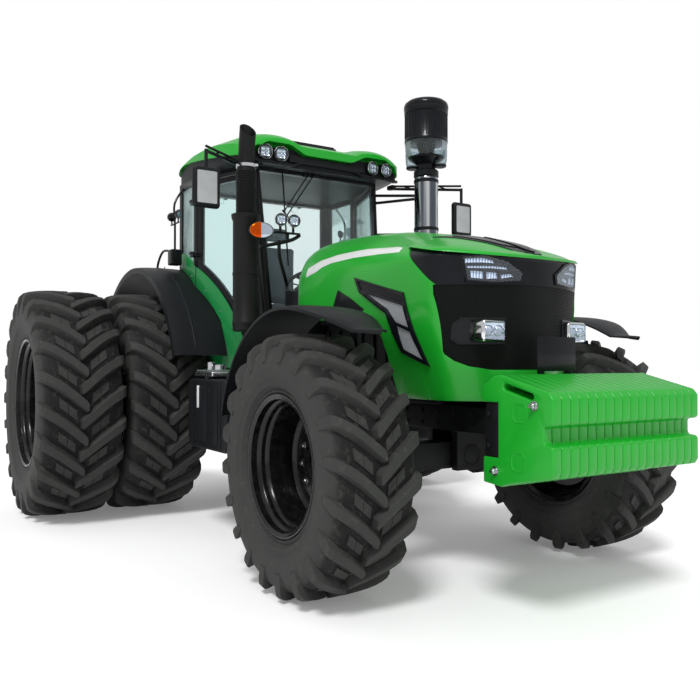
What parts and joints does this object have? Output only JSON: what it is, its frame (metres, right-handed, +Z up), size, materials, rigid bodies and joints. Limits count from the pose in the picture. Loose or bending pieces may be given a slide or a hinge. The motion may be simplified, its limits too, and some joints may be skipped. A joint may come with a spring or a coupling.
{
  "type": "farm tractor",
  "caption": "Four-wheel-drive farm tractor with rear dual wheels, glazed cab, tipping hood, front ballast and a rear three-point hitch.",
  "frame": {"origin": "on the ground, at the middle of the overall length and width", "axes": "+X forward towards the ballast, +Y to the driver's left, +Z up"},
  "size_m": [5.754, 4.28, 3.55],
  "materials": {
    "green_paint": "bright green gloss paint",
    "rim_paint": "gloss black paint",
    "tyre_rubber": "matt charcoal rubber",
    "dark_casting": "black painted casting",
    "black_plastic": "moulded charcoal plastic",
    "gloss_black": "gloss black plastic",
    "cab_paint": "satin black paint",
    "stack_black": "heat-proof satin black",
    "bright_pipe": "polished pipe under a dark bowl",
    "machined_steel": "plain steel",
    "seat_cloth": "dark woven cloth",
    "cab_glass": "clear blue-green tint"
  },
  "bodies": {
    "chassis": {"front_axle_beam": "dark_casting", "front_frame": "dark_casting", "front_weights": "green_paint", "engine_block": "dark_casting", "transmission": "dark_casting", "cab_floor": "cab_paint", "cab_frame": "cab_paint", "cab_roof": "green_paint", "windscreen": "cab_glass", "seat_base": "black_plastic", "seat_cushion": "seat_cloth", "seat_back": "seat_cloth", "steering_column": "black_plastic", "steering_wheel": "black_plastic", "exhaust_stack": "stack_black", "air_precleaner": "bright_pipe", "steps_left": "dark_casting", "top_link": "machined_steel", "drawbar": "dark_casting", "quarter_glass_right": "cab_glass", "quarter_glass_left": "cab_glass", "inner_fender_right": "green_paint", "inner_fender_left": "green_paint", "rear_fender_right": "black_plastic", "rear_fender_left": "black_plastic", "side_tank_right": "black_plastic", "side_tank_left": "black_plastic", "mirror_right": "black_plastic", "mirror_left": "black_plastic"},
    "hood": {"hood_shell": "green_paint", "grille": "black_plastic", "headlight_band": "gloss_black"},
    "rear_window": {"rear_window": "cab_glass"},
    "steering_rod": {"steering_rod": "machined_steel"},
    "lower_links": {"lower_link_right": "dark_casting", "lower_link_left": "dark_casting"},
    "lift_arms": {"lift_arms": "dark_casting"},
    "lift_rods": {"lift_rod_right": "machined_steel", "lift_rod_left": "machined_steel"},
    "pto_shaft": {"pto_shaft": "machined_steel"},
    "knuckle_right": {"knuckle_right": "dark_casting", "front_fender_right": "black_plastic"},
    "front_wheel_right": {"tyre_front_right": "tyre_rubber", "rim_front_right": "rim_paint"},
    "rear_wheels_right": {"tyre_rear_inner_right": "tyre_rubber", "tyre_rear_outer_right": "tyre_rubber", "rims_rear_right": "rim_paint"},
    "door_right": {"door_right": "cab_paint", "door_glass_right": "cab_glass"},
    "knuckle_left": {"knuckle_left": "dark_casting", "front_fender_left": "black_plastic"},
    "front_wheel_left": {"tyre_front_left": "tyre_rubber", "rim_front_left": "rim_paint"},
    "rear_wheels_left": {"tyre_rear_inner_left": "tyre_rubber", "tyre_rear_outer_left": "tyre_rubber", "rims_rear_left": "rim_paint"},
    "door_left": {"door_left": "cab_paint", "door_glass_left": "cab_glass"}
  },
  "joints": [
    {"name": "steer_right", "type": "hinge", "parent": "chassis", "child": "knuckle_right", "pos_m": [1.533, -0.64, 0.7425], "axis": [0, 0, 1], "range_deg": [-35, 35]},
    {"name": "steer_left", "type": "hinge", "parent": "chassis", "child": "knuckle_left", "pos_m": [1.533, 0.64, 0.7425], "axis": [0, 0, 1], "range_deg": [-35, 35]},
    {"name": "steering_rod_slide", "type": "slide", "parent": "chassis", "child": "steering_rod", "axis": [0, 1, 0], "range_m": [-0.1225, 0.1225]},
    {"name": "hood_hinge", "type": "hinge", "parent": "chassis", "child": "hood", "pos_m": [0.283, 0, 2.175], "axis": [0, -1, 0], "range_deg": [0, 45]},
    {"name": "rear_window_hinge", "type": "hinge", "parent": "chassis", "child": "rear_window", "pos_m": [-1.459, 0, 2.884], "axis": [0, 1, 0], "range_deg": [0, 40]},
    {"name": "hitch_lift", "type": "hinge", "parent": "chassis", "child": "lower_links", "pos_m": [-1.857, 0, 0.55], "axis": [0, 1, 0], "range_deg": [-20, 30]},
    {"name": "lift_arm_swing", "type": "hinge", "parent": "chassis", "child": "lift_arms", "pos_m": [-1.797, 0, 1.18], "axis": [0, 1, 0], "range_deg": [-20, 30]},
    {"name": "lift_rod_swing", "type": "hinge", "parent": "lift_arms", "child": "lift_rods", "pos_m": [-2.25666, 0, 1.2129], "axis": [0, 1, 0], "range_deg": [-30, 20]},
    {"name": "pto_spin", "type": "hinge", "parent": "chassis", "child": "pto_shaft", "pos_m": [-2.017, 0, 0.72], "axis": [1, 0, 0], "continuous": true},
    {"name": "front_wheel_spin_right", "type": "hinge", "parent": "knuckle_right", "child": "front_wheel_right", "pos_m": [1.533, -1.075, 0.7425], "axis": [0, 1, 0], "continuous": true},
    {"name": "rear_wheels_spin_right", "type": "hinge", "parent": "chassis", "child": "rear_wheels_right", "pos_m": [-1.677, -1.095, 0.97], "axis": [0, 1, 0], "continuous": true},
    {"name": "door_hinge_right", "type": "hinge", "parent": "chassis", "child": "door_right", "pos_m": [-0.967, -0.865, 2.475], "axis": [0, 0, -1], "range_deg": [0, 75]},
    {"name": "front_wheel_spin_left", "type": "hinge", "parent": "knuckle_left", "child": "front_wheel_left", "pos_m": [1.533, 1.075, 0.7425], "axis": [0, 1, 0], "continuous": true},
    {"name": "rear_wheels_spin_left", "type": "hinge", "parent": "chassis", "child": "rear_wheels_left", "pos_m": [-1.677, 1.095, 0.97], "axis": [0, 1, 0], "continuous": true},
    {"name": "door_hinge_left", "type": "hinge", "parent": "chassis", "child": "door_left", "pos_m": [-0.967, 0.865, 2.475], "axis": [0, 0, 1], "range_deg": [0, 75]}
  ],
  "couplings": [
    {"joint": "steer_left", "follows": "steer_right", "ratio": 1},
    {"joint": "steering_rod_slide", "follows": "steer_right", "m_per_rad": -0.2},
    {"joint": "lift_arm_swing", "follows": "hitch_lift", "ratio": 1},
    {"joint": "lift_rod_swing", "follows": "hitch_lift", "ratio": -1}
  ]
}
